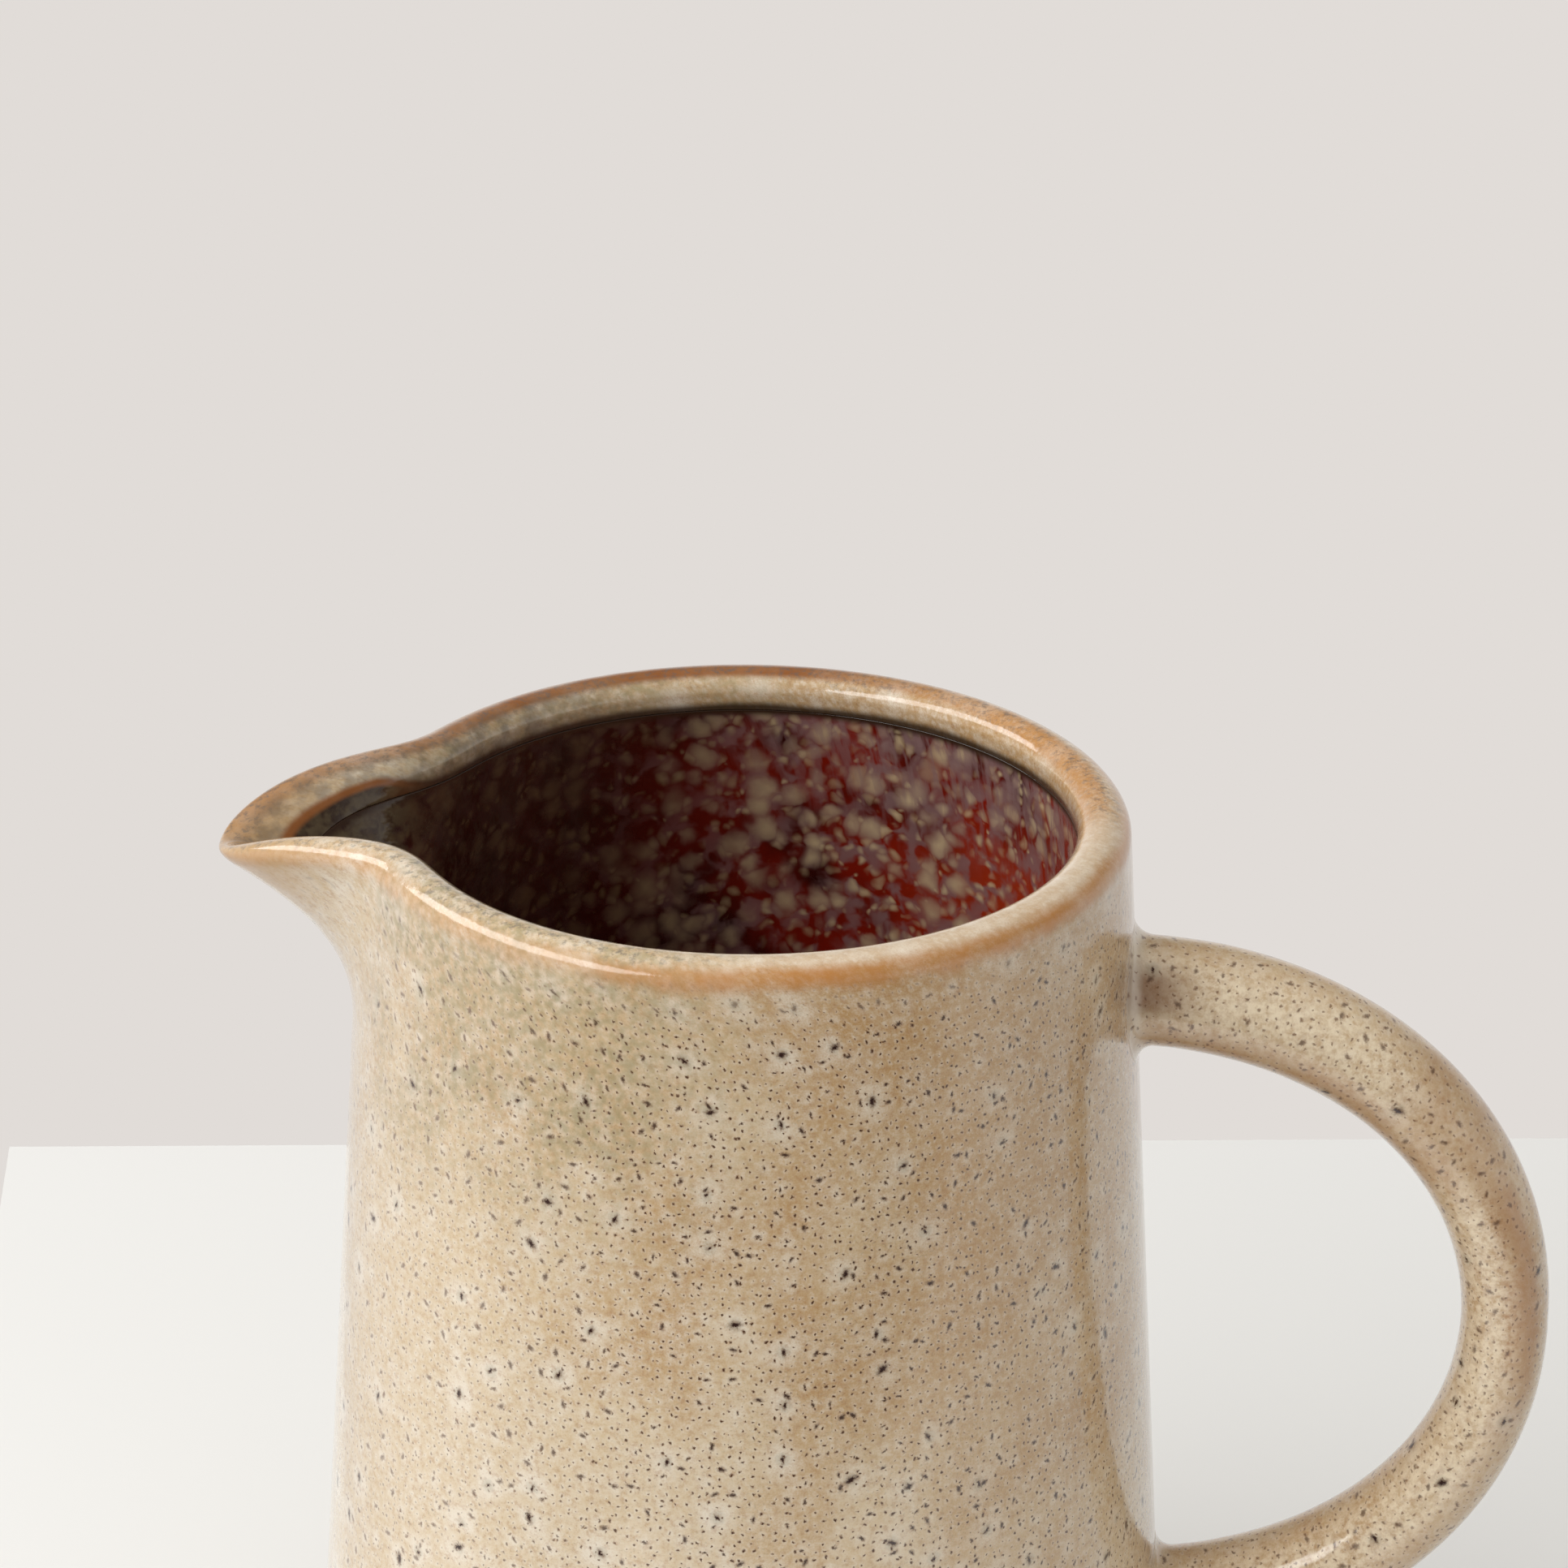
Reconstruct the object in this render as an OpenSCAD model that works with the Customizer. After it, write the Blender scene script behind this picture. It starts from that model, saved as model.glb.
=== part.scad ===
// Glazed stoneware jug vase with a pulled spout and a looped handle.
// It stands on its foot ring at z = 0, with the spout towards -X and the handle towards +X.

/* [Body] */
// Height from the table to the rim
body_h = 158; // [150:1:170]
// Diameter over the glaze at the rim
rim_d = 100; // [94:1:106]
// Diameter over the glaze where the straight wall would meet the table
base_d = 118; // [112:1:124]
// Thickness of the wall with the glaze on both sides
wall_t = 7; // [6:0.5:8]
// Height of the rounded top of the rim
rim_h = 3; // [2.5:0.25:3.5]
// Thickness of the clay floor at the middle
floor_t = 8; // [7:0.5:12]
// Radius inside, where the floor turns up into the wall
floor_r = 12; // [8:1:18]

/* [Foot] */
// Radius of the bare lower edge
foot_r = 6; // [4:0.5:7]
// Width of the flat ring that stands on the table
foot_w = 8; // [6:0.5:12]
// Depth of the hollow inside the foot ring
foot_recess = 2.5; // [1.5:0.5:4]

/* [Spout] */
// How far the spout is pulled out of the round rim
spout_reach = 21.4; // [14:0.2:23]
// Angle from the spout's middle at which the pull has died away to about a third
spout_angle = 14.2; // [13:0.2:18]
// Depth below the rim at which the spout starts to leave the wall
spout_depth = 29.6; // [26:0.2:36]
// How far the spout's tip dips below the rim
spout_drop = 7.2; // [3:0.2:8]

/* [Handle] */
// Depth below the rim of the middle of the handle
handle_depth = 70.4; // [66:0.2:74]
// Height between the middles of the handle's two ends
handle_h = 92; // [84:0.2:94]
// Distance from the jug's axis to the middle of the handle's outermost part
handle_reach = 101.6; // [94:0.2:108]
// Thickness of the glazed handle at its middle
handle_mid_t = 11.6; // [10:0.2:13]
// Thickness of the glazed handle near its ends
handle_end_t = 14.4; // [13:0.2:16]
// Width of the handle as a share of its thickness
handle_oval = 1.1; // [1:0.05:1.3]
// Radius of the flare where the handle spreads onto the wall
handle_flare = 3; // [2.5:0.25:4.5]

/* [Glaze and slip] */
// Thickness of each coat of glaze
glaze_t = 0.6; // [0.4:0.1:0.8]
// Depth below the rim at which the outer glaze stops inside
dip_depth = 5; // [4.5:0.25:8]
// Height of the bare band above the table
glaze_line = 9; // [8:0.5:14]
// Thickness of the slip under each end of the handle
slip_t = 0.5; // [0.3:0.1:0.8]

/* [Hidden] */

// Distances from the middle of the wall out to the clay and out to the glaze
clay_off = wall_t / 2 - glaze_t;
glaze_off = wall_t / 2;
taper = (base_d - rim_d) / 2 / body_h;

// The pull of the spout: its fullness across the rim, its curve down the wall and the angle of its dip
spout_fullness = 2.4;
spout_curve = 2;
drop_angle = 9.5;

// Divisions of a turn, finer over the spout's sector
fine_sector = 36;
fine_count = 24;
plain_count = 36;
fine_step = 2 * fine_sector / fine_count;
plain_step = (360 - 2 * fine_sector) / plain_count;
turn = concat([for (i = [0 : fine_count - 1]) -fine_sector + i * fine_step],
              [for (i = [0 : plain_count - 1]) fine_sector + i * plain_step]);
seg = len(turn);

// Divisions of the spout's curve, of the rim's round and of the corners
flare_count = 6;
rim_count = 6;
corner_count = 4;

// The handle's middle line is half an oval that starts from the rim's radius
// How full the oval is: 2 would be an ellipse
loop_full = 2.06;
loop_x = rim_d / 2;
loop_z = body_h - handle_depth;
loop_a = handle_reach - loop_x;
loop_b = handle_h / 2;
// Divisions round the handle, along its loop and down each flare
handle_sides = 16;
loop_count = 20;
flare_steps = 4;
// How fast the handle thickens from its middle to its ends
thicken = 1.25;
// Reach of the wall's shape into the handle's sections, as a number of flares
wall_hold = 3;
// How far the handle's raw ends run into the wall before they are trimmed to it
end_bury = 3;
// Overlap of a cutter past the face that it cuts
cut = 1;

clay_colour = [0.72, 0.62, 0.50];
slip_colour = [0.60, 0.50, 0.40];
cream_colour = [0.85, 0.77, 0.65];
red_colour = [0.36, 0.08, 0.05];

// Angle from the spout's middle, from -180 to 180
function from_spout(a) = a > 180 ? a - 360 : a;

// Share of the spout's pull at an angle and at a depth below the rim
function pull(a, d) = d < spout_depth
    ? exp(-pow(abs(from_spout(a)) / spout_angle, spout_fullness)) * pow(1 - d / spout_depth, spout_curve)
    : 0;

// Height that the rim has lost where the spout dips
function dip(a, d) = d < spout_depth
    ? spout_drop * exp(-pow(from_spout(a) / drop_angle, 2)) * (1 - d / spout_depth)
    : 0;

// Radius of the middle of the wall, and its rate of change per radian
function mid_r(a, d) = rim_d / 2 - glaze_off + taper * d + spout_reach * pull(a, d);
function mid_slope(a, d) = (mid_r(a + 0.5, d) - mid_r(a - 0.5, d)) * 180 / PI;

// A point that stands off the middle of the wall, square to it in plan
function wall_point(a, off, d) =
    let (r = mid_r(a, d), s = mid_slope(a, d), k = off / norm([r, s]))
    let (out = r * (1 + k), along = -s * k, c = -cos(a), n = -sin(a))
    [out * c - along * n, out * n + along * c, body_h - d - dip(a, d)];

// One ring of points for each [offset, depth] of a profile
function rings(profile) = [for (p = profile, a = turn) wall_point(a, p[0], p[1])];

// Profile from the bare band up the outside, over the rim and down to the dip line
function outer_profile(off, crown) = concat(
    [[off, body_h - glaze_line]],
    [for (i = [0 : flare_count]) [off, spout_depth + (rim_h - spout_depth) * i / flare_count]],
    [for (i = [1 : rim_count])
        let (t = 180 * i / rim_count)
        [off * cos(t), rim_h - crown * sin(t)]],
    [[-off, dip_depth]]);

// Profile from the dip line down the inside to the floor
function inner_profile(off, floor_z, r) = concat(
    [for (i = [0 : flare_count]) [-off, dip_depth + (spout_depth - dip_depth) * i / flare_count]],
    [for (i = [0 : corner_count])
        let (t = 90 * i / corner_count)
        [-off - r * (1 - cos(t)), body_h - floor_z - r * (1 - sin(t))]]);

// Profile of the bare lower edge, from the foot ring up
function foot_profile() =
    [for (i = [0 : corner_count])
        let (t = 90 * i / corner_count)
        [clay_off - foot_r * (1 - sin(t)), body_h - foot_r * (1 - cos(t))]];

function without_first(list) = [for (i = [1 : len(list) - 1]) list[i]];

// Faces of a skin of rings, seen from the side that its profile has on its right
function skin(first, count) =
    [for (i = [first : first + count - 2], j = [0 : seg - 1])
        let (a = i * seg + j, b = i * seg + (j + 1) % seg)
        each [[a, b + seg, b], [a, a + seg, b + seg]]];

// Faces of a band between two rings, and of a fan from a ring to a point
function band(low, high) =
    [for (j = [0 : seg - 1])
        let (k = (j + 1) % seg)
        each [[low * seg + j, high * seg + k, low * seg + k],
              [low * seg + j, high * seg + j, high * seg + k]]];
function fan(ring, point) =
    [for (j = [0 : seg - 1]) [ring * seg + j, point, ring * seg + (j + 1) % seg]];

function turned(faces) = [for (f = faces) [f[2], f[1], f[0]]];

// Solid inside a profile that starts and ends on the axis
module vessel(profile, start_z, end_z) {
    n = len(profile);
    polyhedron(concat(rings(profile), [[0, 0, start_z], [0, 0, end_z]]),
               concat(skin(0, n), turned(fan(0, n * seg)), fan(n - 1, n * seg + 1)));
}

// Coat between two profiles that run the same way
module coat(back, face) {
    n = len(back);
    polyhedron(concat(rings(back), rings(face)),
               concat(turned(skin(0, n)), skin(n, n),
                      band(0, n), turned(band(n - 1, 2 * n - 1))));
}

// Coat between two profiles that both end on the axis
module bowl_coat(back, face, back_z, face_z) {
    n = len(back);
    polyhedron(concat(rings(back), rings(face), [[0, 0, back_z], [0, 0, face_z]]),
               concat(turned(skin(0, n)), skin(n, n), band(0, n),
                      turned(fan(n - 1, 2 * n * seg)), fan(2 * n - 1, 2 * n * seg + 1)));
}

// Solid round of the clay wall between two depths, grown by a layer
module wall_block(layer, top, bottom) {
    off = clay_off + layer;
    vessel([[off, bottom], [off, top]], body_h - bottom, body_h - top);
}

// Radius of the clay wall on the handle's side
function clay_r(d) = mid_r(180, d) + clay_off;

// The loop's middle line at a distance from the axis, on the upper (1) or lower (-1) side
function loop_share(x) = max(0, (x - loop_x) / loop_a);
function loop_rise(x) = loop_b * pow(1 - pow(loop_share(x), loop_full), 1 / loop_full);
function loop_lean(x) =
    atan(pow(loop_share(x), loop_full - 1) / loop_a * loop_b / pow(loop_rise(x) / loop_b, loop_full - 1));

// Stations of the handle: [x, z, direction of the section's outer edge, distance from the wall, growth]
function end_station(side, s, grow) =
    let (x = clay_r(handle_depth - side * loop_b) + s)
    [x, loop_z + side * loop_rise(x), side * (90 - loop_lean(x)), s, grow];
function end_stations(side) = concat(
    [end_station(side, -end_bury, handle_flare)],
    [for (i = [flare_steps : -1 : 0])
        let (t = 90 * i / flare_steps)
        end_station(side, handle_flare * (1 - sin(t)), handle_flare * (1 - cos(t)))]);
function loop_angle(side) =
    side * acos(pow(loop_share(clay_r(handle_depth - side * loop_b) + handle_flare), loop_full / 2));
function loop_stations() =
    [for (i = [1 : loop_count - 1])
        let (t = loop_angle(1) + (loop_angle(-1) - loop_angle(1)) * i / loop_count,
             out = pow(cos(t), 2 / loop_full),
             rise = pow(abs(sin(t)), 2 / loop_full))
        [loop_x + loop_a * out, loop_z + sign(t) * loop_b * rise,
         sign(t) * atan2(loop_a * pow(rise, loop_full - 1), loop_b * pow(out, loop_full - 1)),
         handle_reach, 0]];
function backwards(list) = [for (i = [len(list) - 1 : -1 : 0]) list[i]];
// Stations of one end alone, in the loop's own order, and of the whole loop
function end_path(side) = side > 0 ? end_stations(1) : backwards(end_stations(-1));
function loop_path() = concat(end_path(1), loop_stations(), end_path(-1));

// Half thickness of the clay at a height on the loop
function half_t(z) =
    let (share = pow(min(1, abs(z - loop_z) / loop_b), thicken))
    (handle_mid_t + (handle_end_t - handle_mid_t) * share) / 2 - glaze_t;

// Share of a section that follows the wall, from all of it at the wall to none of it further out
function wall_share(s) = max(0, min(1, 1 - s / (wall_hold * handle_flare)));

// How far the wall at a point lies beyond the wall at the middle of the point's station
function wall_shift(p, y, z) = sqrt(pow(clay_r(body_h - z), 2) - y * y) - clay_r(body_h - p[1]);

// One ring of the handle, grown by a coat
function handle_ring(p, layer) =
    let (t = half_t(p[1]), a = t + layer + p[4], b = t * handle_oval + layer + p[4], share = wall_share(p[3]))
    [for (j = [0 : handle_sides - 1])
        let (u = a * cos(360 * j / handle_sides),
             y = b * sin(360 * j / handle_sides),
             z = p[1] + u * sin(p[2]))
        [p[0] + (1 - share) * u * cos(p[2]) + share * wall_shift(p, y, z), y, z]];

// The raw handle along a run of stations, whose ends are still inside the wall
module handle_blank(layer, path) {
    n = len(path);
    m = handle_sides;
    sides = [for (i = [0 : n - 2], j = [0 : m - 1])
        let (a = i * m + j, b = i * m + (j + 1) % m)
        each [[a, b, b + m], [a, b + m, a + m]]];
    ends = [[for (j = [m - 1 : -1 : 0]) j], [for (j = [0 : m - 1]) (n - 1) * m + j]];
    polyhedron([for (p = path) each handle_ring(p, layer)], concat(sides, ends));
}

// Slip between the wall and the upper (1) or lower (-1) end of the handle
module luting(side, top, bottom) {
    color(slip_colour)
    difference() {
        intersection() {
            handle_blank(0, end_path(side));
            wall_block(slip_t, top, bottom);
        }
        wall_block(0, top - cut, bottom + cut);
    }
}

module clay_body() {
    color(clay_colour)
    difference() {
        vessel(concat(foot_profile(), outer_profile(clay_off, rim_h - glaze_t),
                      without_first(inner_profile(clay_off, floor_t, floor_r))),
               0, floor_t);
        ring_r = base_d / 2 - glaze_t - foot_r - foot_w;
        translate([0, 0, -cut])
        cylinder(h = foot_recess + cut, r1 = ring_r + cut, r2 = ring_r - foot_recess, $fn = 96);
    }
}

module handle() {
    color(clay_colour)
    difference() {
        handle_blank(0, loop_path());
        wall_block(slip_t, dip_depth, body_h - glaze_line);
    }
}

module upper_luting() {
    luting(1, dip_depth, handle_depth);
}

module lower_luting() {
    luting(-1, handle_depth, body_h - glaze_line);
}

module liner_glaze() {
    color(red_colour)
    bowl_coat(inner_profile(clay_off, floor_t, floor_r),
              inner_profile(glaze_off, floor_t + glaze_t, floor_r - glaze_t),
              floor_t, floor_t + glaze_t);
}

module body_glaze() {
    color(cream_colour)
    difference() {
        coat(outer_profile(clay_off, rim_h - glaze_t), outer_profile(glaze_off, rim_h));
        for (side = [1, -1])
            handle_blank(glaze_t, end_path(side));
    }
}

module handle_glaze() {
    color(cream_colour)
    difference() {
        handle_blank(glaze_t, loop_path());
        handle_blank(0, loop_path());
        wall_block(0, dip_depth, body_h - glaze_line);
    }
}

clay_body();
handle();
upper_luting();
lower_luting();
liner_glaze();
body_glaze();
handle_glaze();
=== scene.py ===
"""Dresses the jug vase.

Smooth clay and glaze pieces go over the CAD frame.
Their materials, the stage, the light and the camera follow.
"""
import math

import bpy
import numpy as np
from mathutils import Matrix, Vector


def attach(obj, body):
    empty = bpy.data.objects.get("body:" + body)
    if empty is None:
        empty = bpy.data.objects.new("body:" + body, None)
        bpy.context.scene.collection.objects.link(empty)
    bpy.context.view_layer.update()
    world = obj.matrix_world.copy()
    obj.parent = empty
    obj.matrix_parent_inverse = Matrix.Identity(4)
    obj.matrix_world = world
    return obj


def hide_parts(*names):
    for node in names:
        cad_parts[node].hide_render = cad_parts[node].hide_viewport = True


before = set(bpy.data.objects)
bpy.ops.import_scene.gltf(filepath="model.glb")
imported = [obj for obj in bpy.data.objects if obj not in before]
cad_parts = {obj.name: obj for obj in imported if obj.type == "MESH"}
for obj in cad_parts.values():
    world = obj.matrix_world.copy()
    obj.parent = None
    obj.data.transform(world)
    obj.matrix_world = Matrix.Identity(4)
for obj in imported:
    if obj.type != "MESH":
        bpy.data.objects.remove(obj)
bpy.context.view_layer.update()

# Driving sizes of the jug, in metres and degrees, as the CAD has them
BODY_H = 0.158
RIM_R = 0.050
BASE_R = 0.059
WALL = 0.007
RIM_H = 0.003
FLOOR = 0.008
FLOOR_R = 0.012
FOOT_R = 0.006
FOOT_W = 0.008
FOOT_RECESS = 0.0025
SPOUT_REACH = 0.0214
SPOUT_ANGLE = 14.2
SPOUT_FULLNESS = 2.4
SPOUT_DEPTH = 0.0296
SPOUT_CURVE = 2.0
SPOUT_DROP = 0.0072
DROP_ANGLE = 9.5
GLAZE = 0.0006
DIP_DEPTH = 0.005
GLAZE_LINE = 0.009
HANDLE_DEPTH = 0.0704
HANDLE_H = 0.0920
HANDLE_REACH = 0.1016
HANDLE_MID_T = 0.0116
HANDLE_END_T = 0.0144
HANDLE_OVAL = 1.1
LOOP_FULL = 2.06
HANDLE_THICKEN = 1.25

# Detail that only the dressed jug has: the groove where the two glazes meet, the flare of the handle's coat,
# its depth in the wall and the distance over which its sections bend, and the waves of the glaze line
GROOVE = 0.00015
COAT_FLARE = 0.0024
COAT_SUNK = 0.003
COAT_HOLD = 4 * COAT_FLARE
LINE_WAVE = 0.0006
WAVE_REACH = 0.02

# Derived sizes
CLAY_OFF = WALL / 2 - GLAZE
GLAZE_OFF = WALL / 2
TAPER = (BASE_R - RIM_R) / BODY_H
LOOP_Z = BODY_H - HANDLE_DEPTH
LOOP_A = HANDLE_REACH - RIM_R
LOOP_B = HANDLE_H / 2

# Divisions of the smooth meshes, how far the turn crowds to the spout, and the step that measures a slope
TURN = 288
RIM_STEPS = 24
FLARE_STEPS = 28
WALL_STEPS = 30
CORNER_STEPS = 10
EDGE_STEPS = 4
HANDLE_SIDES = 56
HANDLE_RINGS = 150
CROWDING = 26.0
SLOPE_STEP = 0.25
# Turn of the handle's section that puts the seam of its map at the back
SEAM_TURN = 0.25

# Surface coordinates are in centimetres, so texture scales read as features per centimetre
CM = 100.0
HALF_TURN = math.pi * (RIM_R + BASE_R) / 2 * CM
HANDLE_HALF_TURN = math.pi * (HANDLE_MID_T + HANDLE_END_T) / 4 * CM
DIP_ALONG = (DIP_DEPTH - RIM_H + math.pi / 4 * (GLAZE_OFF + RIM_H)) * CM

# The photograph's camera, fitted to the rim, the spout and the walls
PHOTO_PX = 1932
FOCAL_PX = 8995
RIM_PIXEL = (919.9, 992.3)
CAMERA_DISTANCE = 0.950
CAMERA_TURN = math.radians(3.62)
CAMERA_PITCH = math.radians(23.74)
CAMERA_ROLL = math.radians(0.46)
SENSOR_MM = 36.0
NEAR_CLIP = 0.05

# The table ends this far from the jug, in line with the picture
TABLE_BACK = 0.218
TABLE_LEFT = 0.1165
TABLE_RIGHT = 0.45
TABLE_FRONT = 0.22
TABLE_TURN = math.radians(5.35)

# The room's soft light comes from the left and the front, as from a window, and from straight above.
# A spread holds the cosines at which a side starts to count and counts in full.
WINDOW_SIDE = (-0.66, -0.72, 0.22)
WINDOW_LIGHT = 0.84
SHADE_LIGHT = 0.25
TOP_SIDE = (0.0, 0.0, 1.0)
TOP_LIGHT = 1.12
TOP_SPREAD = (0.65, 0.95)
LIGHT_COLOUR = (1.0, 0.985, 0.965, 1.0)
# Share of the wall's brightness that the glaze mirrors from above, and from the dark room in front
CEILING = 0.12
CEILING_SPREAD = (0.0, 0.5)
ROOM = 0.15
ROOM_SIDE = (0.0, -0.8, -0.6)
ROOM_SPREAD = (0.3, 0.8)
# The strip lamp that draws the highlight on the rim
LAMP_PLACE = (-0.82, -0.23, 0.85)
LAMP_AIM = (0.0, 0.0, 0.1)
LAMP_SIZE = (1.8, 0.4)
LAMP_WATTS = 8.3


# Shape of the jug

def pull(a, d):
    """Share of the spout's pull at an angle from the spout, in degrees, and at a depth below the rim."""
    fade = np.clip(1 - d / SPOUT_DEPTH, 0, None)
    return np.exp(-(np.abs(a) / SPOUT_ANGLE) ** SPOUT_FULLNESS) * fade ** SPOUT_CURVE


def mid_radius(a, d):
    """Radius of the middle of the wall."""
    return RIM_R - GLAZE_OFF + TAPER * d + SPOUT_REACH * pull(a, d)


def wall_points(a, off, d):
    """Points that stand off the middle of the wall, square to it in plan. The arguments broadcast."""
    r = mid_radius(a, d)
    rise = mid_radius(a + SLOPE_STEP, d) - mid_radius(a - SLOPE_STEP, d)
    slope = rise / math.radians(2 * SLOPE_STEP)
    share = off / np.hypot(r, slope)
    out, along = r * (1 + share), -slope * share
    c, s = -np.cos(np.radians(a)), -np.sin(np.radians(a))
    fade = np.clip(1 - d / SPOUT_DEPTH, 0, None)
    z = BODY_H - d - SPOUT_DROP * np.exp(-(a / DROP_ANGLE) ** 2) * fade
    return np.stack(np.broadcast_arrays(out * c - along * s, out * s + along * c, z), axis=-1)


def quarter(steps):
    """Angles of a quarter turn, in radians."""
    return np.linspace(0, math.pi / 2, steps + 1)


def profile(offs, depths):
    """Pairs of an offset from the middle of the wall and a depth below the rim."""
    return np.stack([np.concatenate(offs), np.concatenate(depths)], axis=1)


def outer_profile(off, crown, groove):
    """From the bare band up the outside, over the rim and down to the dip line."""
    wall = np.linspace(BODY_H - GLAZE_LINE, SPOUT_DEPTH, WALL_STEPS + 1)
    flare = np.linspace(SPOUT_DEPTH, RIM_H, FLARE_STEPS + 1)[1:]
    rim = np.linspace(0, math.pi, RIM_STEPS + 1)[1:]
    inside = np.linspace(RIM_H, DIP_DEPTH - groove, EDGE_STEPS + 1)[1:]
    t = quarter(EDGE_STEPS)[1:]
    offs = [np.full(len(wall) + len(flare), off), off * np.cos(rim),
            np.full(len(inside), -off), groove * (1 - np.cos(t)) - off]
    depths = [wall, flare, RIM_H - crown * np.sin(rim),
              inside, DIP_DEPTH - groove * (1 - np.sin(t))]
    return profile(offs, depths)


def inner_profile(off, floor_z, r, groove):
    """From the dip line down the inside to the floor."""
    t = quarter(EDGE_STEPS)[:0:-1]
    flare = np.linspace(DIP_DEPTH + groove, SPOUT_DEPTH, FLARE_STEPS + 1)
    wall = np.linspace(SPOUT_DEPTH, BODY_H - floor_z - r, WALL_STEPS + 1)[1:]
    c = quarter(CORNER_STEPS)[1:]
    offs = [groove * (1 - np.cos(t)) - off, np.full(len(flare) + len(wall), -off),
            -off - r * (1 - np.cos(c))]
    depths = [DIP_DEPTH + groove * (1 - np.sin(t)), flare, wall,
              BODY_H - floor_z - r * (1 - np.sin(c))]
    return profile(offs, depths)


def foot_profile():
    """From the hollow of the foot up its bare lower edge."""
    ring = BASE_R - GLAZE - FOOT_R - FOOT_W - mid_radius(180.0, BODY_H)
    t = quarter(CORNER_STEPS)
    return profile([[ring - FOOT_RECESS, ring], CLAY_OFF - FOOT_R * (1 - np.sin(t))],
                   [[BODY_H - FOOT_RECESS, BODY_H], BODY_H - FOOT_R * (1 - np.cos(t))])


def glaze_edge():
    """The rounded lower edge of the body's coat."""
    t = np.linspace(math.pi, 0, 2 * EDGE_STEPS + 1)[1:-1]
    return profile([CLAY_OFF + GLAZE / 2 * (1 + np.cos(t))],
                   [BODY_H - GLAZE_LINE + GLAZE / 2 * np.sin(t)])


def turn_angles():
    """Angles round the jug from the spout, in degrees, closer together over the spout."""
    u = np.arange(TURN) / TURN * 360 - 180
    return u - CROWDING * np.sin(np.radians(u))


def rings(points):
    """The rings that a profile's points make round the jug."""
    return wall_points(turn_angles()[None, :], points[:, :1], points[:, 1:])


def glaze_line_wave():
    """Rise of the glaze line round the jug: three waves of different lengths."""
    a = np.radians(turn_angles())
    return LINE_WAVE * (np.sin(3 * a + 1) + 0.6 * np.sin(7 * a + 2) + 0.4 * np.sin(13 * a))


# Meshes

def grid_faces(rows, cols):
    """Quads between rows of points that close round on themselves."""
    faces = []
    for i in range(rows - 1):
        for j in range(cols):
            a, b = i * cols + j, i * cols + (j + 1) % cols
            faces.append((a, b, b + cols, a + cols))
    return faces


def make_piece(name, points, faces, surface, period):
    """A smooth mesh object with a map of its surface in centimetres, which closes after a period."""
    mesh = bpy.data.meshes.new(name)
    mesh.from_pydata([tuple(p) for p in points], [], faces)
    layer = mesh.uv_layers.new(name="surface")
    corners = np.empty(len(mesh.loops), dtype=np.int32)
    mesh.loops.foreach_get("vertex_index", corners)
    uv = surface[corners]
    # A face across the seam takes its low corners past the end of the turn
    for face in mesh.polygons:
        corner = slice(face.loop_start, face.loop_start + face.loop_total)
        u = uv[corner, 0]
        if np.ptp(u) > period / 2:
            uv[corner, 0] = np.where(u < 0, u + period, u)
    layer.data.foreach_set("uv", uv.astype(np.float32).ravel())
    mesh.polygons.foreach_set("use_smooth", np.ones(len(mesh.polygons), dtype=bool))
    mesh.update()
    obj = bpy.data.objects.new(name, mesh)
    bpy.context.scene.collection.objects.link(obj)
    return obj


def path_length(points):
    """Distance along a row of points from its first."""
    steps = np.linalg.norm(np.diff(points, axis=0), axis=1)
    return np.concatenate([[0], np.cumsum(steps)])


def ring_surface(grid, along):
    """Surface coordinates of rings: round the jug from the spout, and along the profile."""
    steps = np.linalg.norm(np.roll(grid, -1, axis=1) - grid, axis=2)
    share = (np.cumsum(steps, axis=1) - steps) / steps.sum(axis=1, keepdims=True)
    u = (2 * share - 1) * HALF_TURN
    v = np.broadcast_to(along[:, None] * CM, u.shape)
    return np.stack([u, v], axis=-1).reshape(-1, 2)


def make_body_glaze():
    """The body's coat: a closed sleeve whose surface is measured from the crest of the rim."""
    face = outer_profile(GLAZE_OFF, RIM_H, GROOVE)
    back = outer_profile(CLAY_OFF, RIM_H - GLAZE, 0.0)
    grid = rings(np.concatenate([back[::-1], glaze_edge(), face]))
    rows, cols = grid.shape[:2]
    along = path_length(grid[:, 0])
    first = rows - len(face)
    crest = first + np.argmax(grid[first:, 0, 2])
    near_line = np.clip(1 - (grid[..., 2] - GLAZE_LINE) / WAVE_REACH, 0, 1) ** 2
    grid[..., 2] += near_line * glaze_line_wave()
    faces = grid_faces(rows, cols)
    for j in range(cols):
        k = (j + 1) % cols
        faces.append(((rows - 1) * cols + j, (rows - 1) * cols + k, k, j))
    surface = ring_surface(grid, along - along[crest])
    return make_piece("body_glaze_coat", grid.reshape(-1, 3), faces, surface, 2 * HALF_TURN)


def make_bowl(name, points, start_z, end_z, zero_row=0):
    """A closed skin whose profile starts and ends on the jug's axis."""
    grid = rings(points)
    rows, cols = grid.shape[:2]
    along = path_length(grid[:, 0])
    surface = ring_surface(grid, along - along[zero_row])
    surface = np.concatenate([surface, surface[[0, -1]]])
    faces = grid_faces(rows, cols)
    first, last = rows * cols, rows * cols + 1
    for j in range(cols):
        k = (j + 1) % cols
        faces.append((first, k, j))
        faces.append(((rows - 1) * cols + j, (rows - 1) * cols + k, last))
    skin = np.concatenate([grid.reshape(-1, 3), [[0, 0, start_z], [0, 0, end_z]]])
    return make_piece(name, skin, faces, surface, 2 * HALF_TURN)


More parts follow.
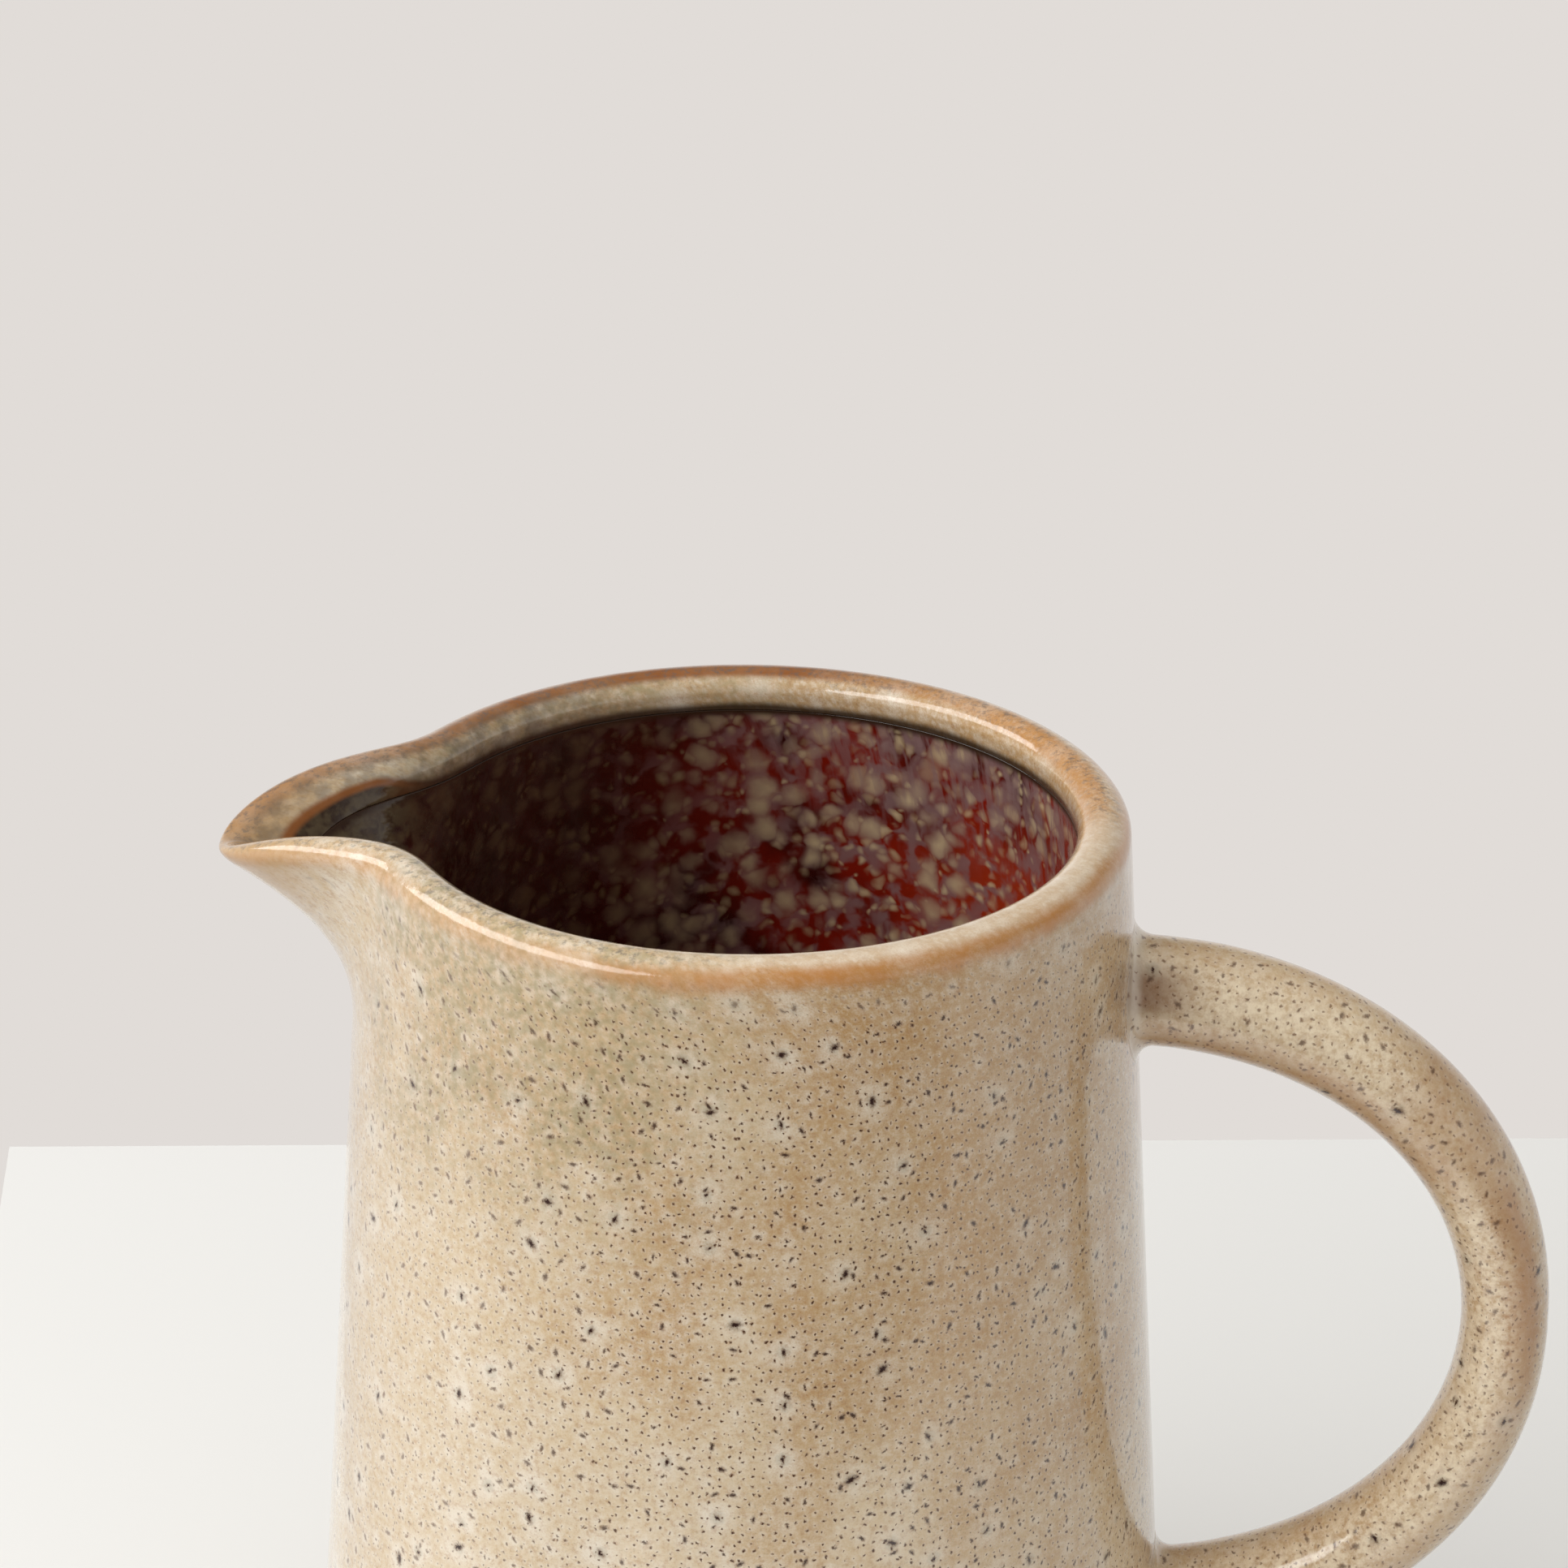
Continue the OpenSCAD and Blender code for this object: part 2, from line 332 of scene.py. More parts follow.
def make_liner_glaze():
    """The liner's coat, measured from the dip line down."""
    face = inner_profile(GLAZE_OFF, FLOOR + GLAZE, FLOOR_R - GLAZE, GROOVE)
    back = inner_profile(CLAY_OFF, FLOOR, FLOOR_R, 0.0)
    points = np.concatenate([back[::-1], face])
    return make_bowl("liner_glaze_coat", points, FLOOR, FLOOR + GLAZE, len(back))


def make_clay_body():
    """The clay vessel, from the hollow of its foot over the rim to its floor."""
    outside = outer_profile(CLAY_OFF, RIM_H - GLAZE, 0.0)
    inside = inner_profile(CLAY_OFF, FLOOR, FLOOR_R, 0.0)[EDGE_STEPS:]
    points = np.concatenate([foot_profile(), outside, inside])
    return make_bowl("clay_vessel", points, FOOT_RECESS, FLOOR)


def wall_radius(z):
    """Radius of the glazed wall on the handle's side."""
    return RIM_R + TAPER * (BODY_H - z)


def loop_station(side, x, s, grow):
    """A station of the handle: x, z, direction of the section's outer edge, distance to the wall, growth."""
    out = max(0.0, (x - RIM_R) / LOOP_A)
    rise = (1 - out ** LOOP_FULL) ** (1 / LOOP_FULL)
    direction = math.atan2(rise ** (LOOP_FULL - 1) / LOOP_B, out ** (LOOP_FULL - 1) / LOOP_A)
    return x, LOOP_Z + side * LOOP_B * rise, side * direction, s, grow


def handle_end(side):
    """Stations from inside the wall out to where the flare ends."""
    root_x = wall_radius(LOOP_Z + side * LOOP_B)
    t = quarter(CORNER_STEPS)[::-1]
    distances = np.concatenate([[-COAT_SUNK], COAT_FLARE * (1 - np.sin(t))])
    growths = np.concatenate([[COAT_FLARE], COAT_FLARE * (1 - np.cos(t))])
    return [loop_station(side, root_x + s, s, grow) for s, grow in zip(distances, growths)]


def loop_angle(station):
    """Angle of a station round the loop, from its outermost point."""
    return math.acos(((station[0] - RIM_R) / LOOP_A) ** (LOOP_FULL / 2))


def handle_stations():
    """Stations along the whole loop, from the upper root to the lower."""
    upper, lower = handle_end(1), handle_end(-1)
    loop = []
    for t in np.linspace(loop_angle(upper[-1]), -loop_angle(lower[-1]), HANDLE_RINGS)[1:-1]:
        x = RIM_R + LOOP_A * math.cos(t) ** (2 / LOOP_FULL)
        z = LOOP_Z + LOOP_B * math.copysign(abs(math.sin(t)) ** (2 / LOOP_FULL), t)
        loop.append(loop_station(math.copysign(1, t), x, x - wall_radius(z), 0.0))
    return upper + loop + lower[::-1]


def handle_section(station):
    """The oval ring of points at a station. Close to the wall it bends onto the wall."""
    x, z, direction, s, grow = station
    round_angle = (np.arange(HANDLE_SIDES) / HANDLE_SIDES + SEAM_TURN) * 2 * math.pi
    rise = min(1.0, abs(z - LOOP_Z) / LOOP_B)
    half = (HANDLE_MID_T + (HANDLE_END_T - HANDLE_MID_T) * rise ** HANDLE_THICKEN) / 2
    out = (half + grow) * np.cos(round_angle)
    y = (half * HANDLE_OVAL + grow) * np.sin(round_angle)
    height = z + out * math.sin(direction)
    share = np.clip(1 - s / COAT_HOLD, 0, 1)
    bend = np.sqrt(wall_radius(height) ** 2 - y * y) - wall_radius(z)
    return np.stack([x + (1 - share) * out * math.cos(direction) + share * bend, y, height], axis=1)


def make_handle_glaze():
    """The handle's coat: an oval tube that swells to its roots and flares into the wall."""
    grid = np.array([handle_section(station) for station in handle_stations()])
    rows, cols = grid.shape[:2]
    u = np.tile((2 * np.arange(cols) / cols - 1) * HANDLE_HALF_TURN, rows)
    v = np.repeat(path_length(grid.mean(axis=1)) * CM, cols)
    faces = grid_faces(rows, cols)
    faces.append(tuple(range(cols))[::-1])
    faces.append(tuple(range((rows - 1) * cols, rows * cols)))
    surface = np.stack([u, v], axis=1)
    return make_piece("handle_glaze_coat", grid.reshape(-1, 3), faces, surface, 2 * HANDLE_HALF_TURN)


# Colours

def srgb(r, g, b):
    """A colour given in 8-bit steps, as the shader takes it."""
    channels = [c / 255 for c in (r, g, b)]
    return tuple(c / 12.92 if c <= 0.04045 else ((c + 0.055) / 1.055) ** 2.4 for c in channels) + (1.0,)


# Cream glaze
CREAM = srgb(216, 192, 154)
TAN = srgb(190, 150, 97)
PALE = srgb(236, 224, 205)
WARM_PALE = srgb(247, 231, 202)
DUST = srgb(124, 104, 74)
GREY_GREEN = srgb(122, 124, 108)
MOSS = srgb(158, 147, 109)
SLATE = srgb(98, 96, 94)
BROWN = srgb(112, 72, 42)
RUST = srgb(168, 116, 66)
IRON = srgb(50, 22, 13)
AMBER = srgb(192, 127, 60)
# Amber of the rim's inner edge in painted shade and in painted light
AMBER_IN_PAINTED_SHADE = srgb(142, 86, 42)
AMBER_IN_PAINTED_LIGHT = srgb(196, 128, 58)
UMBER = srgb(120, 74, 38)
# Olive for the inner rim to the spout, partly painted shade
OLIVE = srgb(118, 99, 67)
DARK_OLIVE = srgb(84, 70, 50)
DARK_LINE = srgb(50, 32, 20)
AMBER_LINE = srgb(132, 74, 24)
# Red glaze
RED = srgb(130, 26, 10)
DEEP_RED = srgb(50, 14, 10)
# Painted light: a lighter red for the lit handle's side of the inside
PAINTED_LIGHT_RED = srgb(158, 48, 20)
MAUVE = srgb(136, 106, 104)
# Painted shade: near-black brown for the spout's side of the inside
PAINTED_SHADE_BROWN = srgb(26, 5, 3)
BLOTCH = srgb(204, 180, 140)
# Painted shade: the blotches' colour on that side
BLOTCH_IN_PAINTED_SHADE = srgb(100, 82, 54)
# Clay, slip, table and wall
CLAY = srgb(184, 158, 128)
DARK_CLAY = srgb(150, 122, 94)
SLIP = srgb(158, 134, 108)
DARK_SLIP = srgb(128, 104, 80)
WHITE = srgb(235, 235, 233)
WARM_WHITE = srgb(231, 230, 227)
WALL_GREY = srgb(225, 220, 216)


# Materials
#
# The numbers of a step are places on the jug in centimetres, or levels of a noise, which runs from 0 to 1.

# The glass of the glazes, their bump with its depth in metres, and the matt table
GLAZE_IOR = 1.6
GLAZE_COAT = 0.6
LINER_COAT = 0.08
COAT_ROUGHNESS = 0.06
GLAZE_BUMP = 0.05
GLAZE_BUMP_DEPTH = 0.002
TABLE_ROUGHNESS = 0.6

# Iron flecks: cells to a centimetre, half a fleck's length and width in centimetres, share of the cells that
# hold one, and where in the pattern they start
LARGE_FLECKS = {"per_cm": 1.3, "length": 0.066, "width": 0.030, "chance": 0.42, "seed": 31.0}
MEDIUM_FLECKS = {"per_cm": 3.0, "length": 0.041, "width": 0.021, "chance": 0.72, "seed": 57.0}
SMALL_FLECKS = {"per_cm": 7.5, "length": 0.018, "width": 0.014, "chance": 1.0, "seed": 83.0}
FLECK_SCATTER = 0.8
FLECK_SIZES = (0.45, 1.15)
FLECK_RAGGED = 0.6
RAGGED_PER_CM = 45.0
FLECK_ABSENT = 9.0
SEAM_CLEARANCE = 1.5
# A fleck is a star of two ovals: the turn of the second, and its length and width as shares of the first's
STAR_TURN = 1.1
STAR_LENGTH = 0.6
STAR_WIDTH = 0.75
# How pale the halos round the large, medium and small flecks are, and how far they reach in their cells
LARGE_HALO = 0.85
MEDIUM_HALO = 0.58
SMALL_HALO = 0.45
HALO_REACH = 0.6
HALO_BORDER = 0.25
# Blotches of the red glaze
BLOTCH_SIZES = (0.45, 1.15)
BLOTCH_SMOOTHNESS = 0.3


class Nodes:
    """Short ways to add and join the nodes of one tree. A value is a socket or a constant."""

    def __init__(self, tree):
        self.tree = tree

    def put(self, socket, value):
        if isinstance(value, bpy.types.NodeSocket):
            self.tree.links.new(value, socket)
        else:
            socket.default_value = value

    def add(self, kind, inputs=None, **settings):
        node = self.tree.nodes.new(kind)
        for key, value in settings.items():
            setattr(node, key, value)
        for key, value in (inputs or {}).items():
            self.put(node.inputs[key], value)
        return node

    def math(self, operation, a, b=0.0):
        return self.add("ShaderNodeMath", {0: a, 1: b}, operation=operation).outputs[0]

    def chain(self, operation, values):
        """One operation over a row of values."""
        result = values[0]
        for value in values[1:]:
            result = self.math(operation, result, value)
        return result

    def plus(self, *values):
        return self.chain("ADD", values)

    def times(self, *values):
        return self.chain("MULTIPLY", values)

    def most(self, *values):
        return self.chain("MAXIMUM", values)

    def minus(self, a, b):
        return self.math("SUBTRACT", a, b)

    def size(self, a):
        return self.math("ABSOLUTE", a)

    def step(self, value, low, high):
        """0 at low, 1 at high and smooth between them; low may be the greater."""
        inputs = {"Value": value, "From Min": low, "From Max": high}
        return self.add("ShaderNodeMapRange", inputs, interpolation_type="SMOOTHSTEP").outputs["Result"]

    def between(self, share, low, high):
        """Low where the share is 0 and high where it is 1."""
        inputs = {"Value": share, "To Min": low, "To Max": high}
        return self.add("ShaderNodeMapRange", inputs).outputs["Result"]

    def vector(self, operation, a, b):
        return self.add("ShaderNodeVectorMath", {0: a, 1: b}, operation=operation).outputs[0]

    def dot(self, a, b):
        return self.add("ShaderNodeVectorMath", {0: a, 1: b}, operation="DOT_PRODUCT").outputs["Value"]

    def length(self, a):
        return self.add("ShaderNodeVectorMath", {0: a}, operation="LENGTH").outputs["Value"]

    def part(self, a, axis):
        return self.add("ShaderNodeSeparateXYZ", {0: a}).outputs[axis]


class Graph(Nodes):
    """The nodes of one material. Its place is measured in the jug's own frame, in centimetres."""

    def __init__(self, name):
        self.material = bpy.data.materials.new(name)
        self.material.use_nodes = True
        super().__init__(self.material.node_tree)
        self.shader = self.tree.nodes["Principled BSDF"]
        at = self.add("ShaderNodeTexCoord").outputs["Object"]
        self.place = self.vector("MULTIPLY", at, (CM, CM, CM))

    def mix(self, share, a, b):
        node = self.add("ShaderNodeMix", data_type="RGBA")
        self.put(node.inputs[0], share)
        self.put(node.inputs[6], a)
        self.put(node.inputs[7], b)
        return node.outputs[2]

    def paint(self, colour, other, mask, share=1.0):
        """The colour with a share of another laid over it where the mask is 1."""
        return self.mix(self.times(mask, share), colour, other)

    def noise(self, at, per_cm, detail=2.0, roughness=0.5):
        inputs = {"Vector": at, "Scale": per_cm, "Detail": detail, "Roughness": roughness}
        return self.add("ShaderNodeTexNoise", inputs).outputs["Fac"]

    def warped(self, at, per_cm, amount):
        """Coordinates pushed about by noise."""
        inputs = {"Vector": at, "Scale": per_cm, "Detail": 1.0}
        noise = self.add("ShaderNodeTexNoise", inputs).outputs["Color"]
        push = self.vector("SUBTRACT", noise, (0.5, 0.5, 0.5))
        return self.vector("ADD", at, self.vector("MULTIPLY", push, (amount, amount, amount)))

    def finish(self, colour, roughness, height, strength, distance):
        """Joins the colour, the roughness and the bump to the shader."""
        self.put(self.shader.inputs["Base Color"], colour)
        self.put(self.shader.inputs["Roughness"], roughness)
        bump = self.add("ShaderNodeBump", {"Height": height, "Strength": strength, "Distance": distance})
        self.put(self.shader.inputs["Normal"], bump.outputs[0])
        return self.material


class GlazeGraph(Graph):
    """A glaze's nodes. Skin is the map of its surface, along goes along the profile or the handle, and
    across goes from the spout's side, where it is negative, to the handle's side, all in centimetres."""

    def __init__(self, name):
        super().__init__(name)
        self.skin = self.add("ShaderNodeUVMap", uv_map="surface").outputs["UV"]
        self.along = self.part(self.skin, 1)
        self.across = self.part(self.place, 0)

    def oval(self, at, angle, length, width):
        """Distance from the middle of a turned oval, 1 at its edge."""
        inputs = {"Vector": at, "Angle": angle}
        turned = self.add("ShaderNodeVectorRotate", inputs, rotation_type="Z_AXIS").outputs[0]
        return self.length(self.vector("MULTIPLY", turned, (1 / length, 1 / width, 0)))

    def star(self, at, luck, length, width):
        """Distance from the middle of two crossed ovals, turned and sized by luck, 1 at their edge."""
        angle = self.times(luck[0], 2 * math.pi)
        arm = self.oval(at, angle, length, width)
        second = self.oval(at, self.plus(angle, STAR_TURN), STAR_LENGTH * length, STAR_WIDTH * width)
        return self.math("DIVIDE", self.math("MINIMUM", arm, second), self.between(luck[1], *FLECK_SIZES))

    def flecks(self, at, half_turn, per_cm, length, width, chance, seed):
        """Star-shaped flecks, one to a cell in a share of the cells: the distance from a fleck's middle as a
        share of its own reach, and a halo that is 1 at the middle and 0 at the border of the cell."""
        moved = self.vector("ADD", at, (seed, seed, 0))
        cells = {"Vector": moved, "Scale": per_cm, "Randomness": FLECK_SCATTER}
        cell = self.add("ShaderNodeTexVoronoi", cells, voronoi_dimensions="2D").outputs
        border = self.add("ShaderNodeTexVoronoi", cells, voronoi_dimensions="2D",
                          feature="DISTANCE_TO_EDGE").outputs["Distance"]
        luck = self.add("ShaderNodeSeparateColor", {0: cell["Color"]}).outputs
        local = self.vector("SUBTRACT", moved, cell["Position"])
        # Cells that the seam of the map would cut stay empty
        from_seam = self.size(self.minus(self.part(cell["Position"], 0), seed))
        whole = self.math("LESS_THAN", from_seam, half_turn - SEAM_CLEARANCE * length)
        present = self.times(self.math("LESS_THAN", luck[2], chance), whole)
        ragged = self.between(self.noise(at, RAGGED_PER_CM), -FLECK_RAGGED, FLECK_RAGGED)
        reach = self.plus(self.star(local, luck, length, width), ragged)
        near = self.step(self.length(local), HALO_REACH / per_cm, 0.0)
        halo = self.times(near, self.step(border, 0.0, HALO_BORDER), present)
        return self.plus(reach, self.between(present, FLECK_ABSENT, 0.0)), halo

    def blobs(self, at, per_cm):
        """Distance from the middles of scattered round blobs of many sizes, about 0.5 at their edges."""
        inputs = {"Vector": at, "Scale": per_cm, "Smoothness": BLOTCH_SMOOTHNESS}
        cell = self.add("ShaderNodeTexVoronoi", inputs, feature="SMOOTH_F1").outputs
        luck = self.add("ShaderNodeSeparateColor", {0: cell["Color"]}).outputs[0]
        return self.math("DIVIDE", cell["Distance"], self.between(luck, *BLOTCH_SIZES))

    def glassy(self, coat):
        """The glass of a glaze: it mirrors more than its colour layer does."""
        self.shader.inputs["IOR"].default_value = GLAZE_IOR
        self.shader.inputs["Coat Weight"].default_value = coat
        self.shader.inputs["Coat Roughness"].default_value = COAT_ROUGHNESS


# Cream glaze: what the body and the handle share

def fleck_layers(g, half_turn):
    """Large, medium and small flecks, each as a distance and a halo."""
    warped = g.warped(g.warped(g.skin, per_cm=14.0, amount=0.05), per_cm=50.0, amount=0.03)
    return [g.flecks(warped, half_turn, **sizes) for sizes in (LARGE_FLECKS, MEDIUM_FLECKS, SMALL_FLECKS)]


def fine_grain(g):
    return g.step(g.noise(g.skin, per_cm=38.0, roughness=0.6), 0.3, 0.7)


def tan_clouds(g):
    """Wide clouds, a little taller than wide."""
    stretched = g.vector("MULTIPLY", g.place, (1, 1, 0.7))
    return g.noise(stretched, per_cm=0.55, detail=4.0, roughness=0.55)


def pale_share(g, flecks, grain, extra):
    """How far the glaze pales: in its mottle, in the halos of the flecks, and to the spout's side, where the
    paling is partly painted light.
    """
    (_, large), (_, medium), (_, small) = flecks
    halo = g.most(g.times(large, LARGE_HALO), g.times(medium, MEDIUM_HALO), g.times(small, SMALL_HALO))
    mottle = g.step(g.noise(g.place, per_cm=2.6, detail=3.0), 0.36, 0.76)
    to_spout = g.step(g.across, -1.0, -5.5)
    pale = g.plus(g.times(mottle, 0.32), halo, g.times(to_spout, 0.12), extra)
    # Paler to the spout's side, less pale to the handle's side: partly painted light and shade
    return g.times(pale, g.between(grain, 0.7, 1.15), g.between(g.step(g.across, -4.0, 4.0), 1.2, 0.66))


def ground_colour(g, clouds, pale, grain, dust_share):
    """Cream and tan clouds under a pale mottle, with fine dust and rust in them."""
    dusty = g.times(g.step(g.noise(g.place, per_cm=1.3), 0.36, 0.62), g.minus(1.0, pale))
    dust = g.times(g.step(g.noise(g.skin, per_cm=27.0, detail=1.0), 0.56, 0.68), dusty)
    fine = g.noise(g.skin, per_cm=9.0, detail=3.0, roughness=0.7)
    colour = g.mix(g.step(clouds, 0.36, 0.74), CREAM, TAN)
    colour = g.paint(colour, DUST, dust, share=dust_share)
    colour = g.paint(colour, PALE, pale)
    colour = g.paint(colour, RUST, g.step(fine, 0.52, 0.3), share=0.4)
    colour = g.paint(colour, PALE, g.step(fine, 0.5, 0.72), share=0.4)
    return g.paint(colour, PALE, grain, share=0.16)


def iron_flecks(g, colour, flecks, shown, peppered, fringe_share, medium_share, small_share):
    """The flecks over a colour: a grey glow, brown fringes and dark iron. Returns the iron too."""
    (large, round_large), (medium, _), (small, _) = flecks
    colour = g.paint(colour, GREY_GREEN, g.times(g.step(round_large, 0.8, 1.0), shown), share=0.25)
    fringe = g.times(g.most(g.step(large, 2.2, 0.9), g.step(medium, 2.2, 0.9)), 0.5)
    small_fringe = g.times(g.step(small, 1.9, 0.5), peppered, fringe_share)
    colour = g.paint(colour, BROWN, g.most(fringe, small_fringe), share=shown)
    medium_iron = g.times(g.step(medium, 1.4, 0.4), peppered, medium_share)
    small_iron = g.times(g.step(small, 1.1, 0.3), peppered, small_share)
    iron = g.times(g.most(g.step(large, 1.4, 0.4), medium_iron, small_iron), shown)
    return g.paint(colour, IRON, iron), iron


def finish_cream(g, colour, iron):
    """Glass over the colour, with a soft unevenness and pits at the flecks."""
    roughness = g.between(g.noise(g.place, per_cm=3.0), 0.09, 0.18)
    height = g.minus(g.noise(g.place, per_cm=5.0), g.times(iron, 0.4))
    g.glassy(GLAZE_COAT)
    return g.finish(colour, roughness, height, GLAZE_BUMP, GLAZE_BUMP_DEPTH)


# Cream glaze on the body

def cream_body():
    """The body's glaze: tan to the rim and the handle, pale low in the middle, with the rim's colours."""
    g = GlazeGraph("cream_body")
    flecks, grain = fleck_layers(g, HALF_TURN), fine_grain(g)
    middle = g.times(g.step(g.across, 2.5, 0.0), g.step(g.across, -4.8, -2.8))
    low_middle = g.times(g.step(g.along, -5.0, -9.0), middle)
    pale = pale_share(g, flecks, grain, extra=g.times(low_middle, 0.18))
    to_rim = g.between(g.step(g.along, -9.0, -2.5), -0.08, 0.13)
    # Tanner toward the handle's side: partly painted shade on the side away from the light
    to_handle = g.between(g.step(g.across, -3.5, 4.0), -0.18, 0.12)
    clouds = g.plus(tan_clouds(g), to_rim, to_handle)
    colour = rim_colours(g, ground_colour(g, clouds, pale, grain, dust_share=0.4))
    # The flecks stop below the rim, and are fainter under the spout
    spout = g.times(g.step(g.across, -4.0, -5.4), g.step(g.along, -4.0, -2.5))
    shown = g.times(g.step(g.along, -0.3, -1.2), g.between(spout, 1.0, 0.4))
    peppered = g.between(g.step(g.across, -4.5, 0.5), 0.42, 1.0)
    colour, iron = iron_flecks(g, colour, flecks, shown, peppered,
                               fringe_share=0.92, medium_share=0.9, small_share=0.75)
    return finish_cream(g, colour, iron)


def rim_colours(g, colour):
    """The colours near the rim, from the tint below it to the line between the glazes."""
    wander = g.times(g.minus(g.noise(g.place, per_cm=1.1), 0.5), 0.3)
    level = g.plus(g.along, wander)
    colour = side_tint(g, colour)
    colour = rim_edges(g, colour, level)
    colour = rim_crest(g, colour, level)
    colour = inner_stains_and_shade(g, colour)
    return dip_line(g, colour, wander)


def side_tint(g, colour):
    """Moss-green patches on the side below the rim, and a tan lip on the spout."""
    zone = g.times(g.step(g.across, 1.5, -1.8), g.step(g.across, -5.2, -4.2), g.step(g.along, -5.2, -2.2))
    patches = g.times(zone, g.step(g.noise(g.place, per_cm=1.1, detail=3.0), 0.28, 0.6))
    moss = g.times(patches, g.step(g.noise(g.place, per_cm=8.0, detail=3.0), 0.3, 0.7))
    lip = g.times(g.step(g.across, -4.9, -6.4), g.step(g.along, -1.9, -0.7))
    colour = g.paint(colour, TAN, patches, share=0.25)
    colour = g.paint(colour, MOSS, moss, share=0.68)
    return g.paint(colour, TAN, lip, share=0.7)


def rim_edges(g, colour, level):
    """Amber where the glaze breaks over the rim's edges: the outer one in front, the inner one behind, which
    is darker toward the spout and lighter toward the handle as painted shade and light.
    """
    broken = g.between(g.noise(g.place, per_cm=2.2, detail=3.0), 0.3, 1.3)
    outer = g.times(g.step(level, -0.64, -0.42), g.step(level, -0.14, -0.34), broken)
    colour = g.paint(colour, AMBER, outer, share=g.between(g.step(g.across, -2.4, -0.2), 0.4, 0.84))
    from_edge = g.size(g.minus(g.along, g.between(g.step(g.across, 1.5, 4.4), 0.02, 0.14)))
    inner = g.times(g.step(from_edge, 0.27, 0.12), g.step(g.part(g.place, 1), -1.5, 1.5))
    handle_side = g.between(g.step(g.across, 0.0, 2.5), 1.0, 0.5)
    spout_side = g.between(g.step(g.across, -3.0, -5.0), 1.0, 0.75)
    inner = g.times(inner, g.between(broken, 0.6, 1.0), handle_side, spout_side)
    # Painted shade and light over the inner amber: darker toward the spout's side, in shade, and lighter
    # toward the handle's side, where the light falls
    return g.paint(colour, g.mix(g.step(g.across, 0.5, 4.0), AMBER_IN_PAINTED_SHADE, AMBER_IN_PAINTED_LIGHT), inner)


def rim_crest(g, colour, level):
    """The rim's crest: clear of slate at the right of the front, with a painted highlight there, and mottled
    with slate elsewhere.
    """
    crest = g.times(g.step(level, -0.35, -0.1), g.step(level, 0.4, 0.1))
    clear = g.times(g.step(g.across, -1.5, 1.0), g.step(g.part(g.place, 1), 0.5, -0.5))
    mottle = g.step(g.noise(g.place, per_cm=9.0, detail=4.0, roughness=0.75), 0.46, 0.68)
    # Painted highlight: pale on the crest at the right of the front
    colour = g.paint(colour, PALE, g.times(crest, clear), share=0.4)
    return g.paint(colour, SLATE, g.times(crest, mottle, g.minus(1.0, clear)), share=0.62)


def inner_stains_and_shade(g, colour):
    """Olive glaze with dark stains inside the rim, to the spout, which darken it there partly as painted
    shade.
    """
    near_spout = g.times(g.step(g.across, -1.2, -3.4), g.step(g.along, 0.0, 0.25))
    stain_and_shade = g.times(near_spout, g.step(g.noise(g.place, per_cm=3.5, detail=3.0), 0.38, 0.6))
    stain_and_shade_colour = g.mix(g.noise(g.place, per_cm=2.0), DARK_LINE, SLATE)
    # Partly painted shade: the inner rim to the spout, where the light does not reach, goes olive and dark
    colour = g.paint(colour, OLIVE, near_spout, share=0.38)
    return g.paint(colour, stain_and_shade_colour, stain_and_shade, share=0.42)


def dip_line(g, colour, wander):
    """The dark line between the glazes. In the spout it climbs, and the glaze below it is dark."""
    in_spout = g.step(g.across, -4.2, -5.0)
    level = g.plus(g.along, g.times(wander, 0.2), g.times(in_spout, 0.22))
    start = g.between(in_spout, DIP_ALONG - 0.17, DIP_ALONG - 0.12)
    line = g.step(level, start, DIP_ALONG - 0.05)
    colour = g.paint(colour, g.mix(in_spout, DARK_LINE, AMBER_LINE), line, share=0.92)
    under = g.times(in_spout, g.step(level, DIP_ALONG - 0.03, DIP_ALONG + 0.03))
    return g.paint(colour, dark_mottle(g), under)


def dark_mottle(g):
    return g.mix(dark_patches(g), DARK_LINE, DARK_OLIVE)


def dark_patches(g):
    return g.step(g.noise(g.place, per_cm=5.0, detail=3.0), 0.35, 0.65)


# Cream glaze on the handle

def cream_handle():
    """The handle's glaze: less dusty than the body's, with fainter small flecks and colours of its own."""
    g = GlazeGraph("cream_handle")
    flecks, grain = fleck_layers(g, HANDLE_HALF_TURN), fine_grain(g)
    pale = pale_share(g, flecks, grain, extra=0.0)
    clouds = g.plus(tan_clouds(g), -0.04)
    colour = handle_colours(g, ground_colour(g, clouds, pale, grain, dust_share=0.1))
    colour, iron = iron_flecks(g, colour, flecks, shown=1.0, peppered=1.0,
                               fringe_share=0.7, medium_share=0.5, small_share=0.08)
    return finish_cream(g, colour, iron)


def handle_colours(g, colour):
    """Rust and a pale streak that change sides on the way down, and brown glaze pooled in the upper root."""
    share_of_turn = g.times(g.part(g.skin, 0), 1 / HANDLE_HALF_TURN)
    around = g.minus(share_of_turn, g.between(g.step(g.along, 3.2, 6.4), 0.14, -0.15))
    crossing = g.step(g.size(g.minus(g.along, 4.9)), 1.4, 0.2)
    colour = g.paint(colour, RUST, handle_rust(g, around, crossing))
    mottle = g.step(g.noise(g.place, per_cm=8.0, detail=4.0, roughness=0.7), 0.34, 0.64)
    streak = g.times(g.step(g.size(around), 0.34, 0.06), mottle)
    colour = g.paint(colour, WARM_PALE, streak, share=g.between(crossing, 0.78, 0.25))
    pool = g.times(g.step(g.along, 1.5, 0.4), g.step(g.size(around), 0.22, 0.05))
    colour = g.paint(colour, UMBER, pool, share=0.8)
    return g.paint(colour, PALE, g.step(g.along, 0.5, 0.38), share=0.4)


